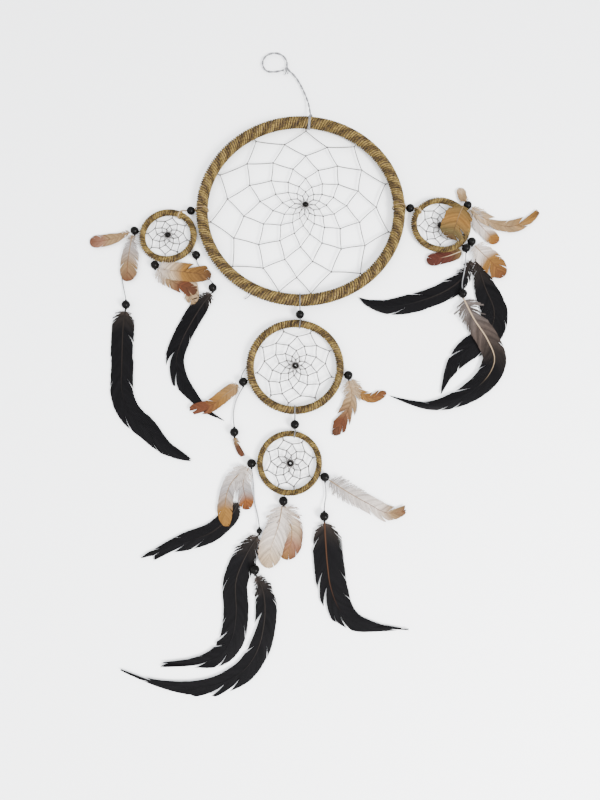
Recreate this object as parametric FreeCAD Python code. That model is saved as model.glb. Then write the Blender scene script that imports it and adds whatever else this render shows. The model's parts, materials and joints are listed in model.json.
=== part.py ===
# Dream catcher: five twine-wrapped hoops with knotted nets, black wooden beads,
# grey cords and hanging feathers, lying flat.  Millimetres, +Z up, +Y toward the hanging eye.
import FreeCAD, Part
import math
import os

os.makedirs("parts", exist_ok=True)
V = FreeCAD.Vector

# ---- driving dimensions (mm) -------------------------------------------------
BIG_D = 200.0          # outside diameter of the large hoop
BIG_TUBE = 11.6        # thickness of its wrapped ring
MID_D, MID_TUBE = 88.4, 7.6
LOW_D, LOW_TUBE = 56.8, 5.6
LEFT_D, LEFT_TUBE = 55.4, 6.6
RIGHT_D, RIGHT_TUBE = 57.6, 6.2
WRAP_T = 1.4           # thickness of the twine wrapping
FIT = 0.05             # clearance between a ring and its wrapping
MID_GAP = 12.3         # space between large and middle hoops, filled by a bead
LOW_GAP = 14.0         # space between middle and bottom hoops
BEAD_D = 8.0           # wooden bead
EYE_BEAD_D = 5.0       # bead at the middle of each net
SMALL_BEAD_D = 5.0     # small bead on the longest string
BORE = 2.0             # hole through a bead
CORD_D = 1.3           # linking cord
STRING_D = 1.0         # thread a feather hangs on
THREAD = 0.9           # thread of the nets
HANG_D = 2.0           # doubled hanging cord
TIE_D = 0.9            # cord tied round a ring
EYE_R = 12.3           # radius of the hanging eye
CLEAR = 0.3            # working clearance beside a bead
SNUG = 0.5             # the same where a tuft is tied round the bead as well
QUILL_GAP = 0.45       # space between a bead and the quill that hangs below it
SIDE_GAP = 0.5         # space between a side cord's end and the hoop it reaches
BLACK_W = 1.0          # widens or narrows the black feathers


class Hoop:
    def __init__(self, x, y, outer, tube):
        self.x, self.y = x, y
        self.r = tube / 2
        self.R = outer / 2 - self.r      # radius to the middle of the tube
        self.out = outer / 2
        self.inn = outer / 2 - tube
        self.z = self.r                  # lies on the surface

    def at(self, degrees, radius=None):
        radius = self.R if radius is None else radius
        a = math.radians(degrees)
        return (self.x + radius * math.cos(a), self.y + radius * math.sin(a))


def side_hoop(degrees, gap, outer, tube):
    """Hoop hung beside the large one, with a gap between the two."""
    x, y = BIG.at(degrees, BIG.out + gap + outer / 2)
    return Hoop(x, y, outer, tube)


BIG = Hoop(0.0, 0.0, BIG_D, BIG_TUBE)
MID = Hoop(-5.0, -(BIG_D / 2 + MID_GAP + MID_D / 2), MID_D, MID_TUBE)
LOW = Hoop(-9.5, MID.y - MID_D / 2 - LOW_GAP - LOW_D / 2, LOW_D, LOW_TUBE)
LEFT = side_hoop(192.54, 1.3, LEFT_D, LEFT_TUBE)
RIGHT = side_hoop(-6.905, BEAD_D - 2.06, RIGHT_D, RIGHT_TUBE)     # a bead stands in that gap
HOOPS = {"big": BIG, "middle": MID, "bottom": LOW, "left": LEFT, "right": RIGHT}

SIDE_Z = 4.6                    # height of the cords to the side hoops
LEFT_Y = LEFT.y + 0.928 * LEFT.out       # where those cords leave the large hoop,
RIGHT_Y = RIGHT.y + 0.58 * RIGHT.out     # level with the upper part of the side hoops
BEAD_R = BEAD_D / 2
BEAD_LIFT = 0.1                 # a bead's height above the surface
BEAD_Z = BEAD_R + BEAD_LIFT
LINK_Z = BEAD_Z + 1.0           # height of the cord to the middle hoop


def beside(hoop, degrees, extra=CLEAR):
    """Place of a bead lying against the outside of a hoop."""
    return hoop.at(degrees, hoop.out + BEAD_R + extra)


def next_beside(hoop, degrees, extra):
    """Angle of a second bead, clockwise from the first with a small gap between them."""
    half = (BEAD_D + 0.7) / 2
    return degrees - 2 * math.degrees(math.asin(half / (hoop.out + BEAD_R + extra)))


# beads on the links and tied round the small hoops: name -> (x, y)
B = {
    "L0": (-(BIG.out + BEAD_R + 1.0), LEFT_Y),
    "R0": (BIG.out + BEAD_R + 1.1, RIGHT_Y),
    "C1": (-0.5, MID.y + MID.out + BEAD_R + 0.5),
    "C2": (MID.x, LOW.y + LOW.out + BEAD_R + 1.0),
    "L1": beside(LEFT, 171),
    "L2": beside(LEFT, 251),
    "L3": beside(LEFT, 324.2, 2.7),
    "M1": beside(MID, 197.5),
    "M2": beside(MID, 350),
    "B1": beside(LOW, 181, SNUG),
    "B2": beside(LOW, 261, SNUG),
    "B3": beside(LOW, 338),
    "R1": beside(RIGHT, 37, SNUG),
    "R2a": beside(RIGHT, 327, SNUG),
    "R2b": beside(RIGHT, next_beside(RIGHT, 327, SNUG), SNUG),
}
# beads at the ends of the strings, measured from the bead the string starts at
DROP = {
    "L1b": (B["L1"][0] - 3.2, B["L1"][1] - 74.8),
    "L3b": (B["L3"][0] + 16.6, B["L3"][1] - 33.0),
    "M1b": (B["M1"][0] - 6.6, B["M1"][1] - 45.4),
    "B1c": (B["B1"][0] + 7.6, B["B1"][1] - 56.8),
    "B4": (B["B2"][0] - 23.2, B["B2"][1] - 56.0),
    "B3b": (B["B3"][0] - 0.8, B["B3"][1] - 33.0),
    "R3": (B["R2b"][0] - 6.0, B["R2b"][1] - 46.0),
}

SHAPES = {}


def out(name, shapes):
    """Keep a node's shape; feathers that meet at the quill are joined, the rest stay apart."""
    shapes = shapes if isinstance(shapes, list) else [shapes]
    if "feathers" in name and len(shapes) > 1:
        shapes = shapes[0].multiFuse(shapes[1:]).Solids
    SHAPES[name] = shapes[0] if len(shapes) == 1 else Part.makeCompound(shapes)


def ring(hoop, radius):
    return Part.makeTorus(hoop.R, radius, V(hoop.x, hoop.y, hoop.z), V(0, 0, 1))


def bead(x, y, z, d=BEAD_D, direction=(0, 1, 0)):
    """A round bead bored along the string."""
    b = BORE / 2
    h = math.sqrt(d * d / 4 - b * b)
    outline = [Part.Arc(V(b, 0, h), V(d / 2, 0, 0), V(b, 0, -h)).toShape(),
               Part.makeLine(V(b, 0, -h), V(b, 0, h))]
    ball = Part.Face(Part.Wire(outline)).revolve(V(0, 0, 0), V(0, 0, 1), 360)
    if not isinstance(ball, Part.Solid):
        ball = Part.Solid(ball.Shells[0])
    ball.Placement = FreeCAD.Placement(V(x, y, z), FreeCAD.Rotation(V(0, 0, 1), V(*direction)))
    return ball


def tie(hoop, degrees):
    """Loop of cord round a hoop's tube."""
    x, y = hoop.at(degrees)
    a = math.radians(degrees)
    along = V(-math.sin(a), math.cos(a), 0)
    return Part.makeTorus(hoop.r + FIT + TIE_D / 2, TIE_D / 2, V(x, y, hoop.z), along)


# ---- nets --------------------------------------------------------------------
NET_END = 0.25         # space between the ring and the end of a net's thread
END_W = 0.9            # half the width of the hitch there
KNOT = 0.8             # how far a knot fills the corner of a cell


def reach(hoop, drop):
    """Radius of a net hung a little below the middle of the tube, clear of it at the thread's top."""
    top = max(0.0, drop - THREAD / 2)
    return hoop.R - math.sqrt(hoop.r ** 2 - top ** 2) - NET_END


def knots(hoop, inner, start, count, closing, rows, eye):
    """Rows of knots from the ring inward; each sits half a step round from the last."""
    step = (360.0 - closing) / (count - 1)
    angles = [start + i * step for i in range(count)]
    table = []
    for f in rows:
        cx = hoop.x + eye[0] * (1 - f)
        cy = hoop.y + eye[1] * (1 - f)
        r = inner * f
        table.append([(cx + r * math.cos(math.radians(a)), cy + r * math.sin(math.radians(a)))
                      for a in angles])
        angles = [(angles[i] + angles[(i + 1) % count] + (360 if i == count - 1 else 0)) / 2
                  for i in range(count)]
    return table


def offset(poly, d):
    """Move every side of a counter-clockwise polygon inward by d (outward if negative)."""
    n = len(poly)
    lines = []
    for i in range(n):
        (x0, y0), (x1, y1) = poly[i], poly[(i + 1) % n]
        length = math.hypot(x1 - x0, y1 - y0)
        nx, ny = -(y1 - y0) / length, (x1 - x0) / length
        lines.append((x0 + nx * d, y0 + ny * d, (x1 - x0) / length, (y1 - y0) / length))
    pts = []
    for i in range(n):
        ax, ay, adx, ady = lines[i - 1]
        bx, by, bdx, bdy = lines[i]
        det = adx * bdy - ady * bdx
        t = ((bx - ax) * bdy - (by - ay) * bdx) / det
        pts.append((ax + adx * t, ay + ady * t))
    return pts


def clip(poly, c):
    """Cut the corners of a polygon so that threads thicken at a knot."""
    pts = []
    n = len(poly)
    for i in range(n):
        p, q, r = poly[i - 1], poly[i], poly[(i + 1) % n]
        for o in (p, r):
            length = math.hypot(o[0] - q[0], o[1] - q[1])
            k = min(c, 0.3 * length) / length
            pts.append((q[0] + (o[0] - q[0]) * k, q[1] + (o[1] - q[1]) * k))
    return pts


def loop(poly, z):
    pts = [V(x, y, z) for x, y in poly]
    return Part.makePolygon(pts + [pts[0]])


def net(hoop, start, count, closing, rows, eye, drop, eye_hole):
    """Knotted net: one flat sheet of thread with the open cells left out."""
    inner = reach(hoop, drop)
    rows = list(rows) + [eye_hole / inner]
    table = knots(hoop, inner, start, count, closing, rows, eye)
    half = THREAD / 2
    z0 = hoop.z - drop - half
    rim = []
    for i in range(count):
        rim += [table[0][i], table[1][i]]
    cut = []
    star = offset(rim, -half)
    for i in range(count):          # blunt the points that reach the ring
        a = table[0][i]
        ux, uy = (a[0] - hoop.x) / inner, (a[1] - hoop.y) / inner
        tx, ty = -uy, ux
        cut += [(a[0] - tx * END_W, a[1] - ty * END_W), (a[0] + tx * END_W, a[1] + ty * END_W),
                star[2 * i + 1]]
    wires = [loop(cut, z0)]
    last = len(table) - 1
    for r in range(last - 1):
        for j in range(count):
            jm = (j - 1) % count
            cell = [table[r][j], table[r + 1][j], table[r + 2][jm], table[r + 1][jm]]
            wires.append(loop(clip(offset(cell, half), KNOT), z0))
    wires.append(loop(offset(table[last], half * 0.6), z0))
    return Part.makeFace(wires, "Part::FaceMakerBullseye").extrude(V(0, 0, THREAD))


# ---- cords -------------------------------------------------------------------
def cord(name, points, d):
    """Tube of straight runs joined by tangent arcs; prints its radii and checks its volume."""
    pts = [V(*p) for p in points]
    edges, length, radii = [], 0.0, []
    here = pts[0]
    for i in range(1, len(pts) - 1):
        a, b, c = pts[i - 1], pts[i], pts[i + 1]
        u = b - a
        w = c - b
        shorter = min(u.Length, w.Length)
        u.normalize()
        w.normalize()
        turn = math.acos(max(-1, min(1, u.dot(w))))
        trim = 0.45 * shorter
        radius = trim / math.tan(turn / 2)
        p, q = b - u * trim, b + w * trim
        away = (w - u).normalize()
        mid = b + away * (math.hypot(radius, trim) - radius)
        edges += [Part.makeLine(here, p), Part.Arc(p, mid, q).toShape()]
        length += (p - here).Length + radius * turn
        radii.append(radius)
        here = q
    edges.append(Part.makeLine(here, pts[-1]))
    length += (pts[-1] - here).Length
    start = (pts[1] - pts[0]).normalize()
    section = Part.Wire([Part.makeCircle(d / 2, pts[0], start)])
    tube = Part.Wire(edges).makePipeShell([section], True, True)
    want = math.pi * d * d / 4 * length
    print(f"{name}: length {length:.1f}, smallest radius {min(radii) if radii else 0:.1f}"
          f" ({(min(radii) if radii else 0) / d:.1f} diameters), volume {tube.Volume / want:.3f}")
    return tube


def rod(a, b, d):
    n = V(*b) - V(*a)
    return Part.makeCylinder(d / 2, n.Length, V(*a), n)


# ---- feathers ----------------------------------------------------------------
def spline(points, t):
    """Point of a smooth curve through the given points, t from 0 to 1."""
    n = len(points) - 1
    i = min(int(t * n), n - 1)
    f = t * n - i
    p0 = points[max(i - 1, 0)]
    p1, p2 = points[i], points[i + 1]
    p3 = points[min(i + 2, n)]
    return [0.5 * (2 * b + (c - a) * f + (2 * a - 5 * b + 4 * c - d) * f * f
                   + (3 * b - a - 3 * c + d) * f ** 3) for a, b, c, d in zip(p0, p1, p2, p3)]


def width(t, belly, tip):
    """Feather outline: narrow quill, full middle, tapered tip."""
    rise = min(1.0, 0.14 + 0.86 * math.sin(min(1.0, t / belly) * math.pi / 2) ** 1.5)
    fall = 1.0 if t < tip else math.cos((t - tip) / (1 - tip) * math.pi / 2) ** 0.8
    return rise * fall


def feather(points, half, belly=0.25, tip=0.6, thick=0.9, stations=14):
    """Thin blade along a curved shaft, ridged in the middle, sharp at both edges."""
    rings = []
    for k in range(stations + 1):
        t = k / stations
        x, y, z = spline(points, t)
        x1, y1, _ = spline(points, min(1, t + 0.02))
        x0, y0, _ = spline(points, max(0, t - 0.02))
        length = math.hypot(x1 - x0, y1 - y0)
        nx, ny = -(y1 - y0) / length, (x1 - x0) / length
        w = max(half * width(t, belly, tip), 0.35)
        h = thick / 2 * (1 - 0.5 * t)
        rings.append([V(x + nx * w, y + ny * w, z), V(x, y, z + h),
                      V(x - nx * w, y - ny * w, z), V(x, y, z - h)])
    faces = []

    def tri(a, b, c):
        faces.append(Part.Face(Part.makePolygon([a, b, c, a])))

    for p, q in zip(rings, rings[1:]):
        for k in range(4):
            m = (k + 1) % 4
            tri(p[k], p[m], q[m])
            tri(p[k], q[m], q[k])
    for e in (rings[0], rings[-1]):
        tri(e[0], e[1], e[2])
        tri(e[0], e[2], e[3])
    solid = Part.Solid(Part.Shell(faces))
    if solid.Volume < 0:
        solid.reverse()
    return solid


def rel(origin, points):
    """Points measured from a place, with their own height above the surface."""
    return [(origin[0] + x, origin[1] + y, z) for x, y, z in points]


def hung(origin, points, radius=BEAD_R):
    """The same from a bead: the quill starts just clear of it, on the side of the first point."""
    x, y, _ = points[0]
    share = (radius + QUILL_GAP) / math.hypot(x, y) - 1
    return rel((origin[0] + x * share, origin[1] + y * share), points)


# ---- hoops -------------------------------------------------------------------
for label, hoop in HOOPS.items():
    core = hoop.r - WRAP_T
    out(f"{label}_ring", ring(hoop, core - FIT))
    out(f"{label}_wrap", ring(hoop, hoop.r).cut(ring(hoop, core)))

NETS = {   # start angle, anchors, closing step, row fractions, eye offset, drop below the tube's middle
    "big": (-84.0, 11, 19.0, (1, .81, .64, .475, .34, .24, .165, .11), (4.8, 5.4), 3.0),
    "middle": (-100.0, 9, 28.0, (1, .77, .57, .40, .26, .16), (0.4, 0.4), 0.0),
    "bottom": (-80.0, 8, 36.0, (1, .74, .51, .31), (0.6, -0.4), 0.0),
    "left": (-60.0, 8, 34.0, (1, .72, .49, .31), (0.0, 1.0), 0.0),
    "right": (-95.0, 8, 36.0, (1, .72, .50, .31), (-0.4, -0.8), 0.0),
}
HUB = EYE_BEAD_D / 2 + 0.75      # radius of the last row, round the eye bead
EYE = {}
for label, (start, count, closing, rows, eye, drop) in NETS.items():
    hoop = HOOPS[label]
    EYE[label] = (hoop.x + eye[0], hoop.y + eye[1], hoop.z - drop)
    out(f"{label}_net", net(hoop, start, count, closing, rows, eye, drop, HUB))

# ---- beads on the hoops ------------------------------------------------------
GROUPS = {"big": ("L0", "R0"), "left": ("L1", "L2", "L3"), "middle": ("M1", "M2"),
          "bottom": ("B1", "B2", "B3"), "right": ("R1", "R2a", "R2b")}
for label, names in GROUPS.items():
    balls = [bead(*EYE[label], EYE_BEAD_D, (0, 0, 1))]
    for n in names:
        if n in ("L0", "R0"):
            balls.append(bead(*B[n], SIDE_Z, BEAD_D, (1, 0, 0)))
        else:
            balls.append(bead(*B[n], BEAD_Z))
    out(f"{label}_beads", balls)
out("middle_link_bead", bead(*B["C1"], LINK_Z))
out("bottom_link_bead", bead(*B["C2"], BEAD_Z))
for n, (x, y) in DROP.items():
    d = SMALL_BEAD_D if n == "B1c" else BEAD_D
    out(f"drop_bead_{n.lower()}", bead(x, y, d / 2 + BEAD_LIFT, d))

# ---- linking cords -----------------------------------------------------------
def side_end(hoop, y):
    """How far from a side hoop's middle its cord stops, just short of the wrapping."""
    outer = hoop.R + math.sqrt(hoop.r ** 2 - (SIDE_Z - hoop.z) ** 2)
    across = y - hoop.y - CORD_D / 2
    return math.sqrt(outer ** 2 - across ** 2) + SIDE_GAP


from_ring = BIG.out + CORD_D / 2
left_end = LEFT.x + side_end(LEFT, LEFT_Y)
right_end = RIGHT.x - side_end(RIGHT, RIGHT_Y)
out("left_link", tie(BIG, 180 - math.degrees(math.asin(LEFT_Y / BIG.R))).fuse(
    rod((-from_ring, LEFT_Y, SIDE_Z), (left_end, LEFT_Y, SIDE_Z), CORD_D)))
out("right_link", tie(BIG, math.degrees(math.asin(RIGHT_Y / BIG.R))).fuse(
    rod((from_ring, RIGHT_Y, SIDE_Z), (right_end, RIGHT_Y, SIDE_Z), CORD_D)))


def link(name, upper, lower, x, z):
    """Cord from a loop round one hoop, through a bead, to a loop round the next."""
    top = tie(upper, math.degrees(math.asin((x - upper.x) / upper.R)) - 90)
    low = tie(lower, 90 - math.degrees(math.asin((x - lower.x) / lower.R)))
    y0 = upper.y - upper.out - CORD_D / 2
    y1 = lower.y + lower.R * math.cos(math.asin((x - lower.x) / lower.R)) + lower.r + CORD_D / 2
    out(name, top.multiFuse([low, rod((x, y0, z), (x, y1, z), CORD_D)]))


link("middle_link", BIG, MID, B["C1"][0], LINK_Z)
link("bottom_link", MID, LOW, B["C2"][0], BEAD_Z)

# ---- hanging cord ------------------------------------------------------------
HANG_X = 9.5
foot = math.degrees(math.acos(HANG_X / BIG.R))
eye_x, eye_y = HANG_X - 36.2, BIG.out + 67.9
route = [(HANG_X + 0.6, BIG.out + 0.1, BIG.z), (HANG_X - 0.5, BIG.out + 14, 3.4),
         (HANG_X - 3.6, BIG.out + 27, 1.6), (HANG_X - 8.8, BIG.out + 41, 1.2),
         (HANG_X - 15.3, BIG.out + 53, 1.3)]
knot = (eye_x + EYE_R * 1.02, eye_y - EYE_R * 0.56)
route.append((knot[0], knot[1], 1.5))
corner = EYE_R / math.cos(math.radians(23.5))
for k in range(6):
    a = math.radians(14 + 47 * k)
    route.append((eye_x + corner * math.cos(a), eye_y + corner * math.sin(a), 1.5))
a = math.radians(319)
route.append((eye_x + EYE_R * 1.05 * math.cos(a), eye_y + EYE_R * 1.05 * math.sin(a), 1.5))
stem = cord("hanging_cord", route, HANG_D)
out("hanging_cord", stem.fuse(tie(BIG, foot)))


# ---- strings -----------------------------------------------------------------
def string(name, start, end, route, end_d=BEAD_D):
    """Thread from under one bead to just above the next."""
    a, b = B[start], DROP[end]
    pts = [(a[0], a[1] - BEAD_R - CLEAR, BEAD_Z - 2.2)]
    pts += [(a[0] + x, a[1] + y, z) for x, y, z in route]
    pts.append((b[0], b[1] + end_d / 2 + 0.2, end_d / 2 + BEAD_LIFT))
    out(name, cord(name, pts, STRING_D))


string("string_l1", "L1", "L1b", [(-3, -16, .8), (-8, -28, .6), (-11, -42, .6), (-7.5, -57, .7)])
string("string_l3", "L3", "L3b", [(3.5, -13, .7), (11, -21, .8)])
string("string_m1", "M1", "M1b", [(-5.5, -13, .8), (-8, -24, .6), (-8.5, -33, .9)])
string("string_b1", "B1", "B1c", [(2, -17, .7), (2.6, -32, .6), (6.6, -46, .8)], SMALL_BEAD_D)
string("string_b2", "B2", "B4", [(-6.5, -11, .7), (-15.5, -21, .6), (-16.5, -33, .6), (-21.5, -44, 1.0)])
string("string_b3", "B3", "B3b", [(1.6, -14, 1.2), (-0.6, -23, 2.0)])
string("string_r3", "R2b", "R3", [(-1, -16, 2.9), (-4, -28, 2.9), (-6.2, -36, 3.4)])

# ---- black feathers ----------------------------------------------------------
W = BLACK_W
out("black_feather_l1", feather(hung(DROP["L1b"], [
    (-0.5, -4.4, 2.4), (-2, -18, 1.0), (-1.6, -37, .9), (-0.6, -58, .9), (1, -81, .9), (9, -100, .9),
    (26, -116, .9), (43, -132, .9), (66, -143, .8)]), 9.6 * W, .12, .62))
out("black_feather_l3", feather(hung(DROP["L3b"], [
    (-0.9, -4.2, 2.4), (-8.5, -14, 1.0), (-18, -31, .9), (-27, -51, .9), (-31, -69, .9), (-26, -86, .9),
    (-15, -101, .9), (-2, -115, .9), (15, -125, .8)]), 7.2 * W, .15, .66))
out("black_feather_b1c", feather(hung(DROP["B1c"], [
    (-0.6, -2.9, 1.6), (-11, -20, .9), (-19, -41, .9), (-18, -65, .9), (-21, -85, .9), (-31, -98, .9),
    (-50, -103, .9), (-78, -103, .8)], SMALL_BEAD_D / 2), 9.0 * W, .2, .7))
out("black_feather_b4", feather(hung(DROP["B4"], [
    (0.8, -4.4, 2.2), (7, -18, .9), (8.5, -37, .9), (4, -60, .9), (-7, -77, .9), (-26, -87, .9),
    (-48, -90, .9), (-76, -87, .9), (-107, -78, .8)]), 7.0 * W, .15, .55))
out("black_feather_b3b", feather(hung(DROP["B3b"], [
    (0.2, -4.4, 2.3), (1, -20, 1.0), (2.4, -40, .9), (5, -58, .9), (12, -75, .9), (24, -85, .9),
    (42, -89, .9), (68, -90, .8)]), 12.0 * W, .2, .5))
out("black_feather_r3", feather(hung(DROP["R3"], [
    (0.6, -4.3, 3.0), (9, -24, 2.4), (20, -44, 2.3), (25, -64, 2.2), (13, -84, 2.2), (-12, -100, 2.0),
    (-40, -105, 1.6), (-72, -96, 1.2)]), 10.5 * W, .2, .6))
r2 = ((B["R2a"][0] + B["R2b"][0]) / 2, (B["R2a"][1] + B["R2b"][1]) / 2)
out("black_feathers_r2", [
    feather(rel(r2, [(2, -14, 1.8), (-7, -32, 1.0), (-25, -46, .9), (-50, -56, .9), (-75, -61, .9),
                     (-94, -58, .9), (-105, -51.5, .8)]), 8.0 * W, .3, .7),
    feather(rel(r2, [(6, -13.5, 1.8), (13, -41, .8), (20, -66, .8), (12, -88, .8), (-11, -106, .8),
                     (-25, -124, .7), (-34, -145, .6)]), 11.0 * W, .4, .5)])

# ---- small brown, beige and grey feathers ------------------------------------
out("small_feathers_l1", [
    feather(hung(B["L1"], [(-2.0, -4.1, 3.6), (-4, -20, 2.7), (-5, -36, 2.3), (-4, -51, 2.0)]), 7.5),
    feather(hung(B["L1"], [(-4.6, -1.2, 3.2), (-16, -6, 2.2), (-30, -9, 1.4), (-43, -10, 1.0)]), 6.0)])
out("small_feathers_l2", [
    feather(hung(B["L2"], [(3.6, -2.8, 3.2), (16, -7, 2.4), (32, -8, 2.3), (48, -4, 2.0)]), 4.6),
    feather(hung(B["L2"], [(2.4, -4.2, 3.0), (12, -15, 2.4), (25, -20, 2.2), (37, -21, 2.1)]), 4.6)])
out("small_feathers_m1", [
    feather(hung(B["M1"], [(-4.0, -2.6, 3.4), (-11, -7, 2.4), (-17, -12, 2.3), (-22.5, -16.5, 2.2)]), 4.4)])
out("small_feather_m1b", feather(hung(DROP["M1b"], [
    (0.2, -4.5, 2.6), (2, -9, 1.4), (4, -14, 1.0), (7, -21, .8)]), 3.2))
out("small_feathers_m2", [
    feather(hung(B["M2"], [(3.2, -3.5, 2.6), (9, -14, 1.4), (20, -20, 1.0), (34, -15, .8)]), 5.0),
    feather(hung(B["M2"], [(0.2, -4.5, 2.6), (3, -20, 1.4), (-4, -38, 1.0), (-14, -54, .8)]), 6.5)])
out("small_feathers_b1", [
    feather(hung(B["B1"], [(-2.5, -3.8, 3.2), (-7, -16, 2.4), (-5, -28, 2.2), (-2, -39, 2.0)]), 6.5),
    feather(hung(B["B1"], [(-4.2, -2.6, 3.2), (-18, -18, 2.0), (-22, -36, 1.8), (-20, -53, 1.6)]), 5.5)])
out("black_feather_b1", feather(rel(B["B1"], [
    (-11, -33, 1.0), (-17, -44, .6), (-33, -58, .6), (-53, -65, .6), (-72, -71, .6), (-92, -79, .6)]),
    7.0 * W, .3, .55, .7))
out("small_feathers_b2", [
    feather(hung(B["B2"], [(-1.0, -4.3, 3.6), (-4, -20, 2.7), (-10, -38, 2.3), (-13, -52, 2.0)]), 6.5),
    feather(hung(B["B2"], [(1.2, -4.5, 2.8), (6, -18, 1.6), (6, -32, 1.2), (1, -47, 1.0)]), 6.5)])
out("small_feathers_b3", [
    feather(hung(B["B3"], [(3.8, -2.6, 3.2), (20, -13, 2.6), (38, -23, 1.8), (52, -30, 1.2),
                          (69, -29, 1.0)]), 6.5, .2, .7)])
out("small_feathers_r1", [
    feather(hung(B["R1"], [(4.4, -1.4, 3.0), (17, -13, 1.6), (33, -20, 1.2), (48, -19, 1.0),
                          (70, -6, .8)]), 5.0, .3, .8),
    feather(hung(B["R1"], [(2.6, -4.0, 2.8), (10, -17, 1.4), (20, -30, 1.0), (27, -38, .8)]), 6.5)])
z_over = 2 * RIGHT.r + 0.7       # one feather lies over the right hoop
out("small_feathers_right_hoop", [
    feather(rel(B["R1"], [(-5, -2.2, z_over), (-10, -13, z_over - .4), (-15, -27, z_over - 1.6),
                          (-19, -36, z_over - 2.0)]), 5.5),
    feather(hung(B["R1"], [(-1.5, 4.4, 3.0), (-3, 10, 1.4), (-4, 15, 1.0), (-4, 21, .8)]), 4.0)])
out("small_feathers_r2", [
    feather(hung(B["R2b"], [(-4.0, -2.6, 3.2), (-16, -7, 2.0), (-28, -10, 1.6), (-37, -13, 1.2)]), 3.2),
    feather(hung(B["R2a"], [(2.8, -3.8, 3.4), (11, -13, 3.0), (19, -22, 2.8), (27, -33, 2.6)]), 7.0)])

# ---- bring everything to one origin: middle of the footprint, on the surface --
FLOOR = -(FIT + TIE_D)           # the ties pass under the rings
box = FreeCAD.BoundBox(LEFT.x, LOW.y, FLOOR, RIGHT.x, BIG.out, 2 * BIG.r)
for name, shape in SHAPES.items():
    if "feather" in name:
        box.add(shape.BoundBox)
SHIFT = V(-(box.XMin + box.XMax) / 2, -(box.YMin + box.YMax) / 2, -FLOOR)

if __name__ == "__main__":
    for name, shape in SHAPES.items():
        shape = shape.copy()
        shape.translate(SHIFT)
        shape.exportStep(f"parts/{name}.step")
    print(len(SHAPES), "nodes; size", round(box.XLength, 1), round(box.YLength, 1), round(box.ZLength, 1))
    print("shift", tuple(round(c, 3) for c in SHIFT))
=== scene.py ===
# %% [markdown]
# # A dream catcher, lying flat
# The object is five hoops wrapped in twine, each with a knotted net, hung with black wooden beads
# and feathers.  The frame below brings the exact places of every part; this file adds the looks.
# Everything is in metres, and `MM` turns the millimetres that a maker would think in into metres.

# %% Load the frame
import json
import math
import random

import bpy
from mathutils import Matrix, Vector, noise

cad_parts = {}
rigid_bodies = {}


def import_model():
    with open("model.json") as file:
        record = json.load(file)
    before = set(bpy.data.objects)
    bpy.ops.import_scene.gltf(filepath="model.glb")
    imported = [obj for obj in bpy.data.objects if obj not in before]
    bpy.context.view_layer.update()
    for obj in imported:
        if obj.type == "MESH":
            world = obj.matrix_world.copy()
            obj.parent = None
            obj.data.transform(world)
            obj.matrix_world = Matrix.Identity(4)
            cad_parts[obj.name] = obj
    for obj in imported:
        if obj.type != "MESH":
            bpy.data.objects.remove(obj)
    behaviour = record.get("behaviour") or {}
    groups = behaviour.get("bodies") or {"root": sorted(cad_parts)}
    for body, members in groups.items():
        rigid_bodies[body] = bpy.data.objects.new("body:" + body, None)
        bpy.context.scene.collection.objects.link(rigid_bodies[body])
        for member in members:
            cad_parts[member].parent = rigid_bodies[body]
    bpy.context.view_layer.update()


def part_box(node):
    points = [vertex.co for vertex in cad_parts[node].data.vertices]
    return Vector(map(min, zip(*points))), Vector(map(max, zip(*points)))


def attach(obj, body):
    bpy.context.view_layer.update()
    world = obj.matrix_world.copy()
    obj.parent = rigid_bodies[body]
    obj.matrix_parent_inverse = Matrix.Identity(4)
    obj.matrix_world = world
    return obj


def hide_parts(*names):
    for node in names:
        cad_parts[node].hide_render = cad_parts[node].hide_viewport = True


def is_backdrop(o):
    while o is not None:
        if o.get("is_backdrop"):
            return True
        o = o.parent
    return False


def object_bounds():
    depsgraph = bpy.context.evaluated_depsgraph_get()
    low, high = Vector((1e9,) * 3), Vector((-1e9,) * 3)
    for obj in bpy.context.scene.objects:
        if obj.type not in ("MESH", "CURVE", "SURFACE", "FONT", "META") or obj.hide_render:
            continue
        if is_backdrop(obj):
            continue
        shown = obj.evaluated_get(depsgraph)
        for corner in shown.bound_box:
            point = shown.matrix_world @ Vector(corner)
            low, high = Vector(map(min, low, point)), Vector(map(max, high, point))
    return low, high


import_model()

MM = 0.001

# %% [markdown]
# ## Where the hoops and beads are
# A hoop is read from the box round its wrapping: half its height is the tube, half its width is
# the outside.  A bead tied to a hoop lies against its outside at an angle, so it is placed by that
# angle; a bead at the end of a string has a box of its own.


# %% Hoops, read from the frame
class Hoop:
    def __init__(self, label):
        low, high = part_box(f"{label}_wrap")
        self.x, self.y, self.z = ((a + b) / 2 for a, b in zip(low, high))
        self.tube = (high.z - low.z) / 2
        self.out = (high.y - low.y) / 2
        self.ring = self.out - self.tube
        self.inner = self.out - 2 * self.tube

    def at(self, degrees, radius, height=0.0):
        a = math.radians(degrees)
        return Vector((self.x + radius * math.cos(a), self.y + radius * math.sin(a), self.z + height))


HOOPS = {label: Hoop(label) for label in ("big", "middle", "bottom", "left", "right")}
for label, hoop in HOOPS.items():
    print(f"{label} hoop: {hoop.out * 2000:.1f} mm across, tube {hoop.tube * 2000:.1f} mm")

# %% Beads, by their place round a hoop
BEAD = 8 * MM
LIFT = 0.95 * MM                     # the rings rest on the cords tied round them
BEAD_Z = LIFT + BEAD / 2 + 0.1 * MM


def beside(label, degrees, gap):
    place = HOOPS[label].at(degrees, HOOPS[label].out + BEAD / 2 + gap * MM)
    place.z = BEAD_Z
    return place


def drop(name):
    low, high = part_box(f"drop_bead_{name}")
    return (low + high) / 2


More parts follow.
